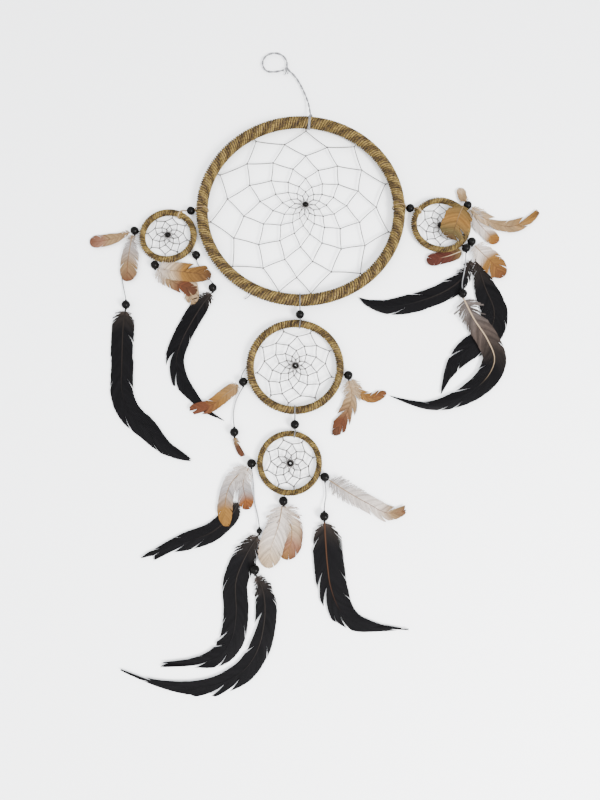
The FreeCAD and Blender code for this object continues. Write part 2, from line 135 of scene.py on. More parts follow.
BIG = HOOPS["big"]
TIES = {                             # bead, angle round its hoop, gap to the twine in millimetres
    "left": (("l1", 171, 0.3), ("l2", 251, 0.3), ("l3", 324.2, 2.7)),
    "middle": (("m1", 197.5, 0.3), ("m2", 350, 0.3)),
    "bottom": (("b1", 181, 0.5), ("b2", 261, 0.5), ("b3", 338, 0.3)),
    "right": (("r1", 37, 0.5), ("r2a", 327, 0.5), ("r2b", 312, 0.5)),
}
TIED = {name: beside(label, degrees, gap) for label, beads in TIES.items() for name, degrees, gap in beads}
DROPS = {name: drop(name) for name in ("l1b", "l3b", "m1b", "b1c", "b4", "b3b", "r3")}
print(len(TIED), "tied beads and", len(DROPS), "hanging beads")

# %% [markdown]
# ## Camera, floor and light
# The piece lies on a pale table and is seen from above, a little from its lower end.  The camera
# comes first, because everything else is judged through it.

# %% Camera
camera_data = bpy.data.cameras.new("camera")
camera_data.lens = 24.75
camera_data.sensor_width = 36
camera = bpy.data.objects.new("camera", camera_data)
bpy.context.scene.collection.objects.link(camera)
camera.location = (BIG.x - 0.5 * MM, BIG.y - 293.0 * MM, 480.0 * MM)
camera.rotation_euler = (math.radians(12.5), 0, 0)
bpy.context.scene.camera = camera
print("camera", [round(c, 3) for c in camera.location])


# %% Small helpers for working by operator
def deselect():
    if bpy.context.object and bpy.context.object.mode != "OBJECT":
        bpy.ops.object.mode_set(mode="OBJECT")
    bpy.ops.object.select_all(action="DESELECT")


def activate(*objects):
    deselect()
    for o in objects:
        o.select_set(True)
    bpy.context.view_layer.objects.active = objects[0]


def settle():
    """Put the active object's place into its mesh, so that the object itself sits at the origin."""
    bpy.ops.object.transform_apply(location=True, rotation=True, scale=True)


def joined(objects, name):
    """Several objects as one mesh."""
    activate(*objects)
    if len(objects) > 1:
        bpy.ops.object.join()
    made = bpy.context.object
    made.name = name
    made.data.name = name
    return made


def linked(name, data):
    """A new object in the scene for a camera, a lamp, a curve or a mesh."""
    made = bpy.data.objects.new(name, data)
    bpy.context.scene.collection.objects.link(made)
    return made


def copy_of(model, place, rotation):
    copy = linked(model.name, model.data.copy())
    copy.location = place
    copy.rotation_euler = rotation
    return copy


def smooth(degrees):
    bpy.ops.object.shade_smooth_by_angle(angle=math.radians(degrees))


def face_outward():
    """In edit mode, turn every face outward, then go back to object mode."""
    bpy.ops.mesh.select_all(action="SELECT")
    bpy.ops.mesh.normals_make_consistent(inside=False)
    bpy.ops.object.mode_set(mode="OBJECT")


def place_piece(piece, body, material, nodes=()):
    """Give a finished piece its material and its body, and let it stand for CAD nodes."""
    piece.data.materials.clear()
    piece.data.materials.append(material)
    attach(piece, body)
    if nodes:
        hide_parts(*nodes)


# %% Floor and soft light
deselect()
bpy.ops.mesh.primitive_plane_add(size=6, location=(0, 0, -0.2 * MM))
floor = bpy.context.object
floor.name = "table_top"
paper = bpy.data.materials.new("pale_table")
paper.use_nodes = True
paper_bsdf = paper.node_tree.nodes["Principled BSDF"]
paper_bsdf.inputs["Base Color"].default_value = (0.95, 0.95, 0.95, 1)
paper_bsdf.inputs["Roughness"].default_value = 0.6
floor.data.materials.append(paper)
floor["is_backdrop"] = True

world = bpy.data.worlds.new("soft_room")
bpy.context.scene.world = world
world.use_nodes = True
world.node_tree.nodes["Background"].inputs["Color"].default_value = (0.95, 0.97, 1.0, 1)
world.node_tree.nodes["Background"].inputs["Strength"].default_value = 2.8


def soft_lamp(name, place, target, size, power):
    data = bpy.data.lights.new(name, "AREA")
    data.size = size
    data.energy = power
    lamp = linked(name, data)
    lamp.location = place
    lamp.rotation_euler = (Vector(target) - Vector(place)).to_track_quat("-Z", "Y").to_euler()


soft_lamp("window_light", (0.8, -0.75, 1.1), (0, 0, 0), 0.5, 70)
soft_lamp("fill_light", (-0.7, -0.5, 1.3), (0, 0, 0), 1.0, 14)
print("floor, world and two lamps")

# %% [markdown]
# ## Finishes
# Twine, thread, polished wood and feather each get a node material.  Twine and cord follow the UV map that runs
# along and round a strand, so that their plies lie at a slant; on the twine the bands run mostly round each
# strand and are a painted highlight with painted shade beside it.  A feather's colours change along its shaft,
# which a painted attribute on its points gives best.


# %% Node helpers
def new_material(name, roughness):
    material = bpy.data.materials.new(name)
    material.use_nodes = True
    bsdf = material.node_tree.nodes["Principled BSDF"]
    bsdf.inputs["Roughness"].default_value = roughness
    return material, material.node_tree.nodes, material.node_tree.links, bsdf


def ramp(nodes, stops):
    node = nodes.new("ShaderNodeValToRGB")
    while len(node.color_ramp.elements) < len(stops):
        node.color_ramp.elements.new(0.5)
    for element, (at, colour) in zip(node.color_ramp.elements, stops):
        element.position = at
        element.color = (*colour, 1)
    return node


def math_node(nodes, operation, value):
    node = nodes.new("ShaderNodeMath")
    node.operation = operation
    node.inputs[1].default_value = value
    return node


def noise_node(nodes, scale, detail):
    node = nodes.new("ShaderNodeTexNoise")
    node.inputs["Scale"].default_value = scale
    node.inputs["Detail"].default_value = detail
    return node


def bump(nodes, links, height, bsdf, strength, distance):
    node = nodes.new("ShaderNodeBump")
    node.inputs["Strength"].default_value = strength
    node.inputs["Distance"].default_value = distance
    links.new(height, node.inputs["Height"])
    links.new(node.outputs["Normal"], bsdf.inputs["Normal"])


# %% Twine, thread and cord
def spun_fibre(name, dark, mid, light, along, plies, grain, roughness=0.9, stops=(0.36, 0.62, 0.86)):
    """A plied fibre: bands from the UV map, colour patches and fine hairs from the object. Drawn fast along the
    strand the bands make slanted plies; with a small `along`, as on the twine, they make a painted highlight
    round each strand with painted shade beside it.
    """
    material, nodes, links, bsdf = new_material(name, roughness)
    uv = nodes.new("ShaderNodeUVMap")
    split = nodes.new("ShaderNodeSeparateXYZ")
    links.new(uv.outputs["UV"], split.inputs["Vector"])
    run = math_node(nodes, "MULTIPLY", along)
    links.new(split.outputs["X"], run.inputs[0])
    turn = math_node(nodes, "MULTIPLY_ADD", plies)
    links.new(split.outputs["Y"], turn.inputs[0])
    links.new(run.outputs[0], turn.inputs[2])
    # The bands run round and along the strand; where they barely run along it, as on the twine, they are a
    # painted highlight drifting round each strand with painted shade beside it.
    ply_and_sheen_wave = math_node(nodes, "PINGPONG", 0.5)
    links.new(turn.outputs[0], ply_and_sheen_wave.inputs[0])
    place = nodes.new("ShaderNodeTexCoord")
    patches = noise_node(nodes, grain, 6)
    patches.inputs["Roughness"].default_value = 0.75
    links.new(place.outputs["Object"], patches.inputs["Vector"])
    mix = math_node(nodes, "MULTIPLY_ADD", 0.5)
    links.new(ply_and_sheen_wave.outputs[0], mix.inputs[0])
    links.new(patches.outputs["Fac"], mix.inputs[2])
    colours = ramp(nodes, list(zip(stops, (dark, mid, light))))
    links.new(mix.outputs[0], colours.inputs["Fac"])
    links.new(colours.outputs["Color"], bsdf.inputs["Base Color"])
    bsdf.inputs["Specular IOR Level"].default_value = 0.2
    bump(nodes, links, mix.outputs[0], bsdf, 0.6, 0.0004)
    return material


# On the twine the light stop is a painted highlight along each strand and the dark stop is painted shade in the
# gaps between strands; the mid tone and the patches are the twine's own colour.
TWINE = spun_fibre("jute_twine", (0.004, 0.002, 0.001), (0.042, 0.025, 0.007), (0.21, 0.142, 0.038),
                   0.13, 1, 700, stops=(0.44, 0.6, 0.82))
CORE = spun_fibre("ring_core", (0.05, 0.03, 0.02), (0.12, 0.08, 0.05), (0.2, 0.14, 0.09), 40, 1, 120)
THREAD = spun_fibre("net_thread", (0.03, 0.026, 0.025), (0.055, 0.05, 0.048), (0.10, 0.09, 0.085), 60, 2, 700)
CORD = spun_fibre("grey_cord", (0.05, 0.05, 0.052), (0.13, 0.13, 0.135), (0.3, 0.3, 0.31), 1, 1, 700)
TAN_CORD = spun_fibre("tan_cord", (0.06, 0.035, 0.015), (0.19, 0.125, 0.06), (0.36, 0.26, 0.13), 1, 1, 700)
BLACK_CORD = spun_fibre("black_cord", (0.002, 0.002, 0.002), (0.004, 0.004, 0.004), (0.01, 0.01, 0.01),
                        60, 2, 700)
print("six spun fibres")


# %% Polished wood beads
def polished_wood(name, dark, light):
    material, nodes, links, bsdf = new_material(name, 0.24)
    place = nodes.new("ShaderNodeTexCoord")
    rings = noise_node(nodes, 420, 5)
    rings.inputs["Distortion"].default_value = 1.2
    links.new(place.outputs["Object"], rings.inputs["Vector"])
    colours = ramp(nodes, ((0.35, dark), (0.75, light)))
    links.new(rings.outputs["Fac"], colours.inputs["Fac"])
    links.new(colours.outputs["Color"], bsdf.inputs["Base Color"])
    gloss = ramp(nodes, ((0.3, (0.18,) * 3), (0.8, (0.36,) * 3)))
    links.new(rings.outputs["Fac"], gloss.inputs["Fac"])
    links.new(gloss.outputs["Color"], bsdf.inputs["Roughness"])
    bsdf.inputs["Specular IOR Level"].default_value = 0.05
    bump(nodes, links, rings.outputs["Fac"], bsdf, 0.12, 0.0002)
    return material


BLACK_WOOD = polished_wood("black_wood", (0.0012, 0.0012, 0.0012), (0.004, 0.0035, 0.003))


# %% Feather finish
def feather_finish(name, roughness, specular):
    """Colour comes from the points' own tint; fine streaks along the barbs come from the UV map."""
    material, nodes, links, bsdf = new_material(name, roughness)
    tint = nodes.new("ShaderNodeAttribute")
    tint.attribute_name = "tint"
    uv = nodes.new("ShaderNodeUVMap")
    stretch = nodes.new("ShaderNodeMapping")
    stretch.inputs["Scale"].default_value = (900, 6, 1)
    links.new(uv.outputs["UV"], stretch.inputs["Vector"])
    streaks = noise_node(nodes, 1.0, 3)
    links.new(stretch.outputs["Vector"], streaks.inputs["Vector"])
    shade = ramp(nodes, ((0.3, (0.72,) * 3), (0.7, (1.25,) * 3)))
    links.new(streaks.outputs["Fac"], shade.inputs["Fac"])
    mixed = nodes.new("ShaderNodeMix")
    mixed.data_type = "RGBA"
    mixed.blend_type = "MULTIPLY"
    mixed.inputs["Factor"].default_value = 1.0
    links.new(tint.outputs["Color"], mixed.inputs["A"])
    links.new(shade.outputs["Color"], mixed.inputs["B"])
    links.new(mixed.outputs["Result"], bsdf.inputs["Base Color"])
    bsdf.inputs["Specular IOR Level"].default_value = specular
    bump(nodes, links, streaks.outputs["Fac"], bsdf, 0.3, 0.0002)
    return material


BLACK_FEATHER = feather_finish("black_feather", 0.42, 0.045)
SOFT_FEATHER = feather_finish("soft_feather", 0.8, 0.1)
print("beads and feathers have their finishes")

# %% [markdown]
# ## Cords and strings
# A cord is one smooth curve through the points of its route.  The string is a single thread, so a
# round section on the curve is enough.  The hanging cord is doubled, so two strands are led along
# the same line, twisting slowly round each other.


# %% One curve through a route
def route_curve(name, points, thickness):
    data = bpy.data.curves.new(name, "CURVE")
    data.dimensions = "3D"
    data.resolution_u = 16
    spline = data.splines.new("NURBS")
    spline.points.add(len(points) - 1)
    for point, place in zip(spline.points, points):
        point.co = (*place, 1)
    spline.order_u = 3
    spline.use_endpoint_u = True
    data.bevel_depth = thickness / 2
    data.bevel_resolution = 3
    data.use_fill_caps = True
    return linked(name, data)


def line_of(curve):
    """Points along a curve, as Blender draws it with no thickness."""
    copy = curve.data.copy()
    copy.bevel_depth = 0
    bare = linked("bare_line", copy)
    mesh = bpy.data.meshes.new_from_object(bare)
    places = [v.co.copy() for v in mesh.vertices]
    bpy.data.objects.remove(bare)
    return places


def length_of(places):
    return sum((b - a).length for a, b in zip(places, places[1:]))


# %% Strings that the feathers hang on
STRING = 1.0 * MM


def string(name, start, end, route, body, end_bead=BEAD):
    """A thread from under one bead to just above the next; the route is measured from the first."""
    a = TIED[start]
    b = DROPS[end]
    places = [a + Vector((0, -BEAD / 2 - 0.3 * MM, -2.2 * MM))]
    places += [Vector((a.x + x * MM, a.y + y * MM, LIFT + z * MM)) for x, y, z in route]
    places.append(Vector((b.x, b.y + end_bead / 2 + 0.2 * MM, b.z)))
    piece = route_curve(name, places, STRING)
    place_piece(piece, body, CORD, (name,))
    length = length_of(line_of(piece))
    print(f"{name}: {length * 1000:.0f} mm")


string("string_l1", "l1", "l1b", [(-3, -16, .8), (-8, -28, .6), (-11, -42, .6), (-7.5, -57, .7)], "left_hoop")
string("string_l3", "l3", "l3b", [(3.5, -13, .7), (11, -21, .8)], "left_hoop")
string("string_m1", "m1", "m1b", [(-5.5, -13, .8), (-8, -24, .6), (-8.5, -33, .9)], "middle_hoop")
string("string_b1", "b1", "b1c", [(2, -17, .7), (2.6, -32, .6), (6.6, -46, .8)], "bottom_hoop", 5 * MM)
string("string_b2", "b2", "b4", [(-6.5, -11, .7), (-15.5, -21, .6), (-16.5, -33, .6), (-21.5, -44, 1.0)],
       "bottom_hoop")
string("string_b3", "b3", "b3b", [(1.6, -14, 1.2), (-0.6, -23, 2.0)], "bottom_hoop")
string("string_r3", "r2b", "r3", [(-1, -16, 2.9), (-4, -28, 2.9), (-6.2, -36, 3.4)], "right_lower_tuft")

# %% Hanging cord with its eye
HANG_X = 9.5                         # all in millimetres from the middle of the big hoop
HANG_EDGE = 100.0
EYE_RADIUS = 12.3
EYE_X = HANG_X - 36.2
EYE_Y = HANG_EDGE + 67.9
EYE_HEIGHT = 1.5


def from_big(x, y, z):
    return Vector((BIG.x + x * MM, BIG.y + y * MM, LIFT + z * MM))


def hanging_route():
    """From the top of the ring to the foot of the eye, then once round the eye."""
    places = [(HANG_X + 0.6, HANG_EDGE + 0.1, BIG.tube / MM), (HANG_X - 0.5, HANG_EDGE + 14, 3.4),
              (HANG_X - 3.6, HANG_EDGE + 27, 1.6), (HANG_X - 8.8, HANG_EDGE + 41, 1.2),
              (HANG_X - 15.3, HANG_EDGE + 53, 1.3),
              (EYE_X + EYE_RADIUS * 1.02, EYE_Y - EYE_RADIUS * 0.56, EYE_HEIGHT)]
    corner = EYE_RADIUS / math.cos(math.radians(23.5))
    for k in range(6):
        a = math.radians(14 + 47 * k)
        places.append((EYE_X + corner * math.cos(a), EYE_Y + corner * math.sin(a), EYE_HEIGHT))
    a = math.radians(319)
    end = EYE_RADIUS * 1.05
    places.append((EYE_X + end * math.cos(a), EYE_Y + end * math.sin(a), EYE_HEIGHT))
    return [from_big(*p) for p in places]


def across(places, i):
    """Two directions square to a line at one of its points."""
    ahead = places[min(i + 1, len(places) - 1)] - places[max(i - 1, 0)]
    side = ahead.cross(Vector((0, 0, 1))).normalized()
    return side, side.cross(ahead).normalized()


def strand_mesh(name, places, radii, sides=8, pitch=3 * MM):
    """A round strand along a list of places: a grid rolled up, its seam merged and its ends closed."""
    deselect()
    last = len(places) - 1
    bpy.ops.mesh.primitive_grid_add(x_subdivisions=last, y_subdivisions=sides, size=1)
    strand = bpy.context.object
    strand.name = name
    for v in strand.data.vertices:
        i = round((v.co.x + 0.5) * last)
        turn = (v.co.y + 0.5) * math.tau
        side, up = across(places, i)
        v.co = places[i] + (side * math.cos(turn) + up * math.sin(turn)) * radii[i]
    plies = length_of(places) / pitch
    for loop in strand.data.uv_layers[0].data:
        loop.uv.x *= plies
    bpy.ops.object.mode_set(mode="EDIT")
    bpy.ops.mesh.select_all(action="SELECT")
    bpy.ops.mesh.remove_doubles(threshold=1e-6)
    bpy.ops.mesh.fill_holes(sides=0)
    face_outward()
    smooth(50)
    return strand


def twisted(name, line, strands, strand_width, pitch):
    """Strands led side by side along one line, turning slowly round each other."""
    made = []
    run = [0.0]
    for a, b in zip(line, line[1:]):
        run.append(run[-1] + (b - a).length)
    for k in range(strands):
        places = []
        for i, place in enumerate(line):
            side, up = across(line, i)
            a = math.tau * (run[i] / pitch + k / strands)
            places.append(place + (side * math.cos(a) + up * math.sin(a)) * strand_width / 2)
        made.append(strand_mesh(f"{name}_{k}", places, [strand_width / 2] * len(places)))
    return joined(made, name)


print("a strand is a grid rolled round its line")

# %% The hanging cord
HANG_WIDTH = 2.0 * MM
centre = route_curve("hanging_line", hanging_route(), HANG_WIDTH)
hang_line = line_of(centre)
bpy.data.objects.remove(centre)
hanging_cord = twisted("hanging_cord", hang_line, 2, HANG_WIDTH / 2, 16 * MM)

FOOT = math.acos(HANG_X * MM / BIG.ring)


def tie_loop(name, hoop, degrees, width, lean=0.0):
    """A loop of cord tied round a ring's tube."""
    deselect()
    at = hoop.at(degrees, hoop.ring)
    bpy.ops.mesh.primitive_torus_add(
        location=at, rotation=(math.pi / 2 + lean, 0, math.radians(degrees)), major_segments=36,
        minor_segments=8, major_radius=hoop.tube + 0.05 * MM + width / 2, minor_radius=width / 2)
    settle()
    loop = bpy.context.object
    loop.name = name
    smooth(60)
    return loop


def overhand(name, place, radius, width, rotation, squash=0.8):
    """A small knot: two rings of cord drawn tight at a slant to each other."""
    parts = []
    for k, lean in enumerate((0.5, -0.7)):
        deselect()
        bpy.ops.mesh.primitive_torus_add(
            location=place, rotation=(rotation[0] + lean, rotation[1], rotation[2] + 0.6 * k),
            major_segments=18, minor_segments=8, major_radius=radius, minor_radius=width / 2)
        bpy.ops.transform.resize(value=(1, 1, squash), center_override=place)
        settle()
        smooth(60)
        parts.append(bpy.context.object)
    return joined(parts, name)


def eye_knot():
    """The knot that closes the eye, with its two short tails."""
    at = from_big(EYE_X + EYE_RADIUS * 0.98, EYE_Y - EYE_RADIUS * 0.6, 1.9)
    knot = overhand("eye_knot", at, 1.3 * MM, 1.1 * MM, (0.2, 0, 0.6))
    tails = []
    for dx, dy in ((-1.5, -6.5), (1.8, -5.2)):
        tail = [at + Vector((dx * MM * f * f, dy * MM * f, -0.9 * MM * f)) for f in (k / 8 for k in range(9))]
        tails.append(strand_mesh("tail", tail, [0.45 * MM] * 9))
    return joined([knot, *tails], "eye_knot")


hang_loop = tie_loop("hang_loop", BIG, math.degrees(FOOT), 0.9 * MM)
hang_loop_two = tie_loop("hang_loop_two", BIG, math.degrees(FOOT) + 0.9, 0.9 * MM, 0.06)
eye_end = eye_knot()
foot_knot = overhand("foot_knot", hang_line[0] + Vector((0, 0.6 * MM, 1.2 * MM)), 1.4 * MM, 1.0 * MM,
                     (1.2, 0, 0.4))
hanging_extras = joined([hang_loop, hang_loop_two, eye_end, foot_knot], "hanging_cord_knots")
place_piece(hanging_extras, "hanger", CORD)
place_piece(hanging_cord, "hanger", CORD, ("hanging_cord",))
print(f"hanging cord {length_of(hang_line) * 1000:.0f} mm with its eye")

# %% [markdown]
# ## Twine wrapping
# The rings are wrapped closely with jute twine laid on at a slant.  Each strand is one long helix
# round the tube: a torus is bent to that path, once for each strand, and each starts a little
# further round.  The turns are whole numbers, so that every strand closes on itself.


# %% One strand of twine round a ring
STRAND_THICK = 0.8 * MM
STRAND_SHARE = 0.39                  # half a strand's width, as a share of its place on the ring
# each step of this length along a strand moves its painted highlight a little further round it
SHEEN_DRIFT_LENGTH = 4.4 * MM
SHEEN_DRIFT_SHIFT = 2.5                      # keeps the painted highlights of neighbouring strands out of step


def twine_strand(name, hoop, turns, strands, number):
    deselect()
    bpy.ops.mesh.primitive_torus_add(major_segments=min(256, 5 * turns), minor_segments=3, major_radius=1,
                                     minor_radius=0.25)
    strand = bpy.context.object
    strand.name = f"{name}_strand_{number}"
    bpy.ops.object.mode_set(mode="EDIT")
    bpy.ops.mesh.select_all(action="SELECT")
    bpy.ops.mesh.subdivide(number_cuts=2)
    bpy.ops.object.mode_set(mode="OBJECT")
    width = STRAND_SHARE * math.tau * hoop.ring / (turns * strands)
    start = math.tau * number / strands
    for v in strand.data.vertices:
        theta = math.atan2(v.co.y, v.co.x)
        off = math.hypot(v.co.x, v.co.y) - 1
        phi = math.atan2(v.co.z, off)
        turn = turns * theta + start
        around = Vector((math.cos(theta), math.sin(theta), 0))
        rough = noise.noise(around * 9 + Vector((number * 3.1, turn * 0.15, hoop.out * 50)))
        out = around * math.cos(turn) + Vector((0, 0, math.sin(turn)))
        along = Vector((-math.sin(theta), math.cos(theta), 0))
        depth = hoop.tube - STRAND_THICK + 0.12 * MM * rough
        centre = around * hoop.ring + out * depth
        shift = width * 0.6 * noise.noise(around * 14 + Vector((number * 7.7, 2.0, turn * 0.2)))
        v.co = (Vector((hoop.x, hoop.y, hoop.z)) + centre + out * STRAND_THICK * math.cos(phi)
                + along * (width * math.sin(phi) + shift))
    strand_length = turns * math.hypot(math.tau * hoop.tube, math.tau * hoop.ring / turns)
    # Along each strand the UV map runs one step per few millimetres, and each step moves the painted highlight
    # a little further round the strand.
    for loop in strand.data.uv_layers[0].data:
        loop.uv.x = loop.uv.x * round(strand_length / SHEEN_DRIFT_LENGTH) + SHEEN_DRIFT_SHIFT * number
    bpy.ops.object.mode_set(mode="EDIT")
    face_outward()
    smooth(80)
    return strand


# %% Stray fibres that stand off the twine
def stray_fibres(hoop, count, seed):
    pick = random.Random(seed)
    fibres = []
    for _ in range(count):
        degrees = pick.uniform(0, 360)
        lift = pick.uniform(0.1, math.pi - 0.1)
        ring_out = Vector((math.cos(math.radians(degrees)), math.sin(math.radians(degrees)), 0))
        out = ring_out * math.cos(lift) + Vector((0, 0, math.sin(lift)))
        along = Vector((-ring_out.y, ring_out.x, 0)) * pick.choice((-1, 1))
        foot = Vector((hoop.x, hoop.y, hoop.z)) + ring_out * hoop.ring + out * (hoop.tube - 0.3 * MM)
        reach = pick.uniform(1.5, 3.6) * MM
        bend = pick.uniform(0.15, 0.5)
        line = [foot + along * reach * f + out * reach * bend * f * f for f in (0, 0.35, 0.7, 1)]
        fibres.append(strand_mesh("fibre", line, [0.09 * MM, 0.08 * MM, 0.06 * MM, 0.03 * MM], 4))
    return fibres


# %% Wrap the five rings
TURNS = {"big": (44, 6, 26), "middle": (32, 4, 10), "bottom": (24, 4, 6),
         "left": (20, 4, 6), "right": (20, 4, 6)}
for label, (turns, strands, hairs) in TURNS.items():
    laid = [twine_strand(label, HOOPS[label], turns, strands, k) for k in range(strands)]
    laid += stray_fibres(HOOPS[label], hairs, turns)
    wrap = joined(laid, f"{label}_twine")
    place_piece(wrap, f"{label}_hoop", TWINE, (f"{label}_wrap",))
    print(f"{label} ring: {strands} strands, {turns} turns each, {hairs} loose fibres")

# %% [markdown]
# ## Nets
# One thread is hitched round the ring, then round its own spans, again and again toward the
# middle.  Every knot therefore lies half a step round from the knots of the row outside it, and
# each row of thread runs zigzag between two rows of knots.

# %% Rows of knots
NETS = {
    "big": (-84.0, 11, 19.0, (1, .81, .64, .475, .34, .24, .165, .11), (4.8, 5.4)),
    "middle": (-100.0, 9, 28.0, (1, .77, .57, .40, .26, .16), (0.4, 0.4)),
    "bottom": (-80.0, 8, 36.0, (1, .74, .51, .31), (0.6, -0.4)),
    "left": (-60.0, 8, 34.0, (1, .72, .49, .31), (0.0, 1.0)),
    "right": (-95.0, 8, 36.0, (1, .72, .50, .31), (-0.4, -0.8)),
}
EYE_BEAD = 5 * MM
HUB_CORD = 0.5 * MM
HUB = EYE_BEAD / 2 + HUB_CORD
STUB = 1.8                           # millimetres from the twine to the first knot


def knot_rows(label, start, count, closing, rows, eye, height):
    hoop = HOOPS[label]
    low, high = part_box(f"{label}_net")
    inner = max(high.y - hoop.y, hoop.y - low.y) - 0.1 * MM
    step = (360.0 - closing) / (count - 1)
    angles = [start + i * step for i in range(count)]
    jitter = random.Random(label)
    table = []
    for k, share in enumerate([*rows, HUB / inner]):
        loose = 0 if k == 0 else 0.5 * MM * share
        row = []
        for a in angles:
            turn = math.radians(a)
            row.append(Vector((
                hoop.x + eye[0] * MM * (1 - share) + inner * share * math.cos(turn)
                + jitter.uniform(-loose, loose),
                hoop.y + eye[1] * MM * (1 - share) + inner * share * math.sin(turn)
                + jitter.uniform(-loose, loose),
                height + jitter.uniform(-0.1, 0.1) * MM)))
        table.append(row)
        angles = [(angles[i] + angles[(i + 1) % count] + (360 if i == count - 1 else 0)) / 2
                  for i in range(count)]
    return table


# %% Threads and knots
def inward(knot, row, i):
    """The way from a knot on the ring to the middle of the two knots it feeds."""
    return ((row[i] + row[i - 1]) / 2 - knot).normalized()


def thread_row(name, outer, inner, width, first):
    """One closed zigzag thread between two rows of knots; at the ring it turns at a short stub."""
    places = []
    for i, knot in enumerate(outer):
        places.append(knot + inward(knot, inner, i) * STUB * MM if first else knot)
        places.append(inner[i])
    data = bpy.data.curves.new(name, "CURVE")
    data.dimensions = "3D"
    spline = data.splines.new("POLY")
    dense = []
    for a, b in zip(places, places[1:] + places[:1]):
        span = b - a
        aside = Vector((-span.y, span.x, 0)).normalized() * 0.018 * span.length
        dense += [a + span * f + aside * math.sin(math.pi * f) for f in (0, 0.25, 0.5, 0.75)]
    spline.points.add(len(dense) - 1)
    for point, place in zip(spline.points, dense):
        point.co = (*place, 1)
    spline.use_cyclic_u = True
    data.bevel_depth = width / 2
    data.bevel_resolution = 2
    activate(linked(name, data))
    bpy.ops.object.convert(target="MESH")
    smooth(60)
    return bpy.context.object


def knot_model(width):
    """A hitch: one turn of thread pulled tight."""
    deselect()
    bpy.ops.mesh.primitive_torus_add(major_segments=10, minor_segments=6, major_radius=width * 0.55,
                                     minor_radius=width * 0.52)
    bpy.ops.transform.resize(value=(1.25, 0.85, 0.9), center_override=(0, 0, 0))
    settle()
    smooth(60)
    return bpy.context.object


NET_Z = {}
for label, (start, count, closing, rows, eye) in NETS.items():
    low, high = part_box(f"{label}_net")
    NET_Z[label] = (low.z + high.z) / 2
    table = knot_rows(label, start, count, closing, rows, eye, NET_Z[label])
    parts = []
    for k in range(len(table) - 1):
        width = (0.9 if k < 3 else 0.8 if k < 5 else 0.7) * MM
        parts.append(thread_row("thread", table[k], table[k + 1], width, k == 0))
    deselect()
    hub_place = (HOOPS[label].x + eye[0] * MM, HOOPS[label].y + eye[1] * MM, NET_Z[label])
    bpy.ops.mesh.primitive_torus_add(location=hub_place, major_segments=24, minor_segments=8,
                                     major_radius=HUB, minor_radius=HUB_CORD)
    settle()
    parts.append(bpy.context.object)
    hitch = knot_model(0.9 * MM)
    knots = []
    for k, row in enumerate(table[:-1]):
        for i, place in enumerate(row):
            at = place + inward(place, table[1], i) * STUB * MM if k == 0 else place
            knots.append(copy_of(hitch, at, (0.3, 0, 0.7 * i + k)))
    bpy.data.objects.remove(hitch)
    for i, place in enumerate(table[0]):
        way = inward(place, table[1], i)
        stub = [place - way * 0.5 * MM, place + way * 0.9 * MM, place + way * 2.0 * MM]
        parts.append(strand_mesh("stub", stub, [0.62 * MM, 0.5 * MM, 0.45 * MM], 8))
    activate(*knots)
    settle()
    net = joined([*parts, *knots], f"{label}_net_thread")
    place_piece(net, f"{label}_hoop", THREAD, (f"{label}_net",))
    print(f"{label} net: {count} anchors, {len(table)} rows, {len(knots)} knots")

# %% [markdown]
# ## Wooden beads
# A bead is turned on a lathe and drilled, so it starts as a sphere, loses its two poles and gets a
# bore that joins the two rims.  One bead is modelled for each size and copied to its places.


# %% Model a bead
def bead_model(diameter, bore=2 * MM):
    deselect()
    bpy.ops.mesh.primitive_uv_sphere_add(segments=40, ring_count=24, radius=diameter / 2)
    ball = bpy.context.object
    for polygon in ball.data.polygons:
        centre = polygon.center
        polygon.select = math.hypot(centre.x, centre.y) < bore / 2
    bpy.context.tool_settings.mesh_select_mode = (False, False, True)
    bpy.ops.object.mode_set(mode="EDIT")
    bpy.ops.mesh.delete(type="FACE")
    bpy.ops.mesh.select_mode(type="EDGE")
    bpy.ops.mesh.select_all(action="DESELECT")
    bpy.ops.mesh.select_non_manifold()
    bpy.ops.mesh.bridge_edge_loops()
    face_outward()
    smooth(40)
    return ball


def bead_at(model, place, direction):
    return copy_of(model, place, Vector(direction).to_track_quat("Z", "Y").to_euler())


big_bead = bead_model(BEAD)
small_bead = bead_model(EYE_BEAD)
for label in ("big", *TIES):
    hoop = HOOPS[label]
    eye = NETS[label][4]
    balls = [bead_at(small_bead, (hoop.x + eye[0] * MM, hoop.y + eye[1] * MM, NET_Z[label]), (0.1, 0, 1))]
    balls += [bead_at(big_bead, TIED[name], (0.15, 1, 0.1)) for name, _, _ in TIES.get(label, ())]
    if label == "big":
        low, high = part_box("big_beads")
        side_z = LIFT + 4.6 * MM
        balls.append(bead_at(big_bead, (low.x + BEAD / 2, BIG.y - 2.3 * MM, side_z), (1, 0, 0)))
        balls.append(bead_at(big_bead, (high.x - BEAD / 2, BIG.y + 0.5 * MM, side_z), (1, 0, 0)))
    activate(*balls)
    settle()
    place_piece(joined(balls, f"{label}_wood_beads"), f"{label}_hoop", BLACK_WOOD,
                (f"{label}_beads",))
    print(f"{label} hoop: {len(balls)} beads")

# %% Beads on the links and at the ends of the strings
HANGING = {"l1b": "left_outer_drop", "l3b": "left_inner_drop", "m1b": "middle_drop", "b1c": "bottom_inner_drop",
           "b4": "bottom_long_drop", "b3b": "bottom_right_drop", "r3": "right_drop"}


def loose_bead(name, ball, body, node):
    activate(ball)
    settle()
    ball.name = name
    place_piece(ball, body, BLACK_WOOD, (node,))


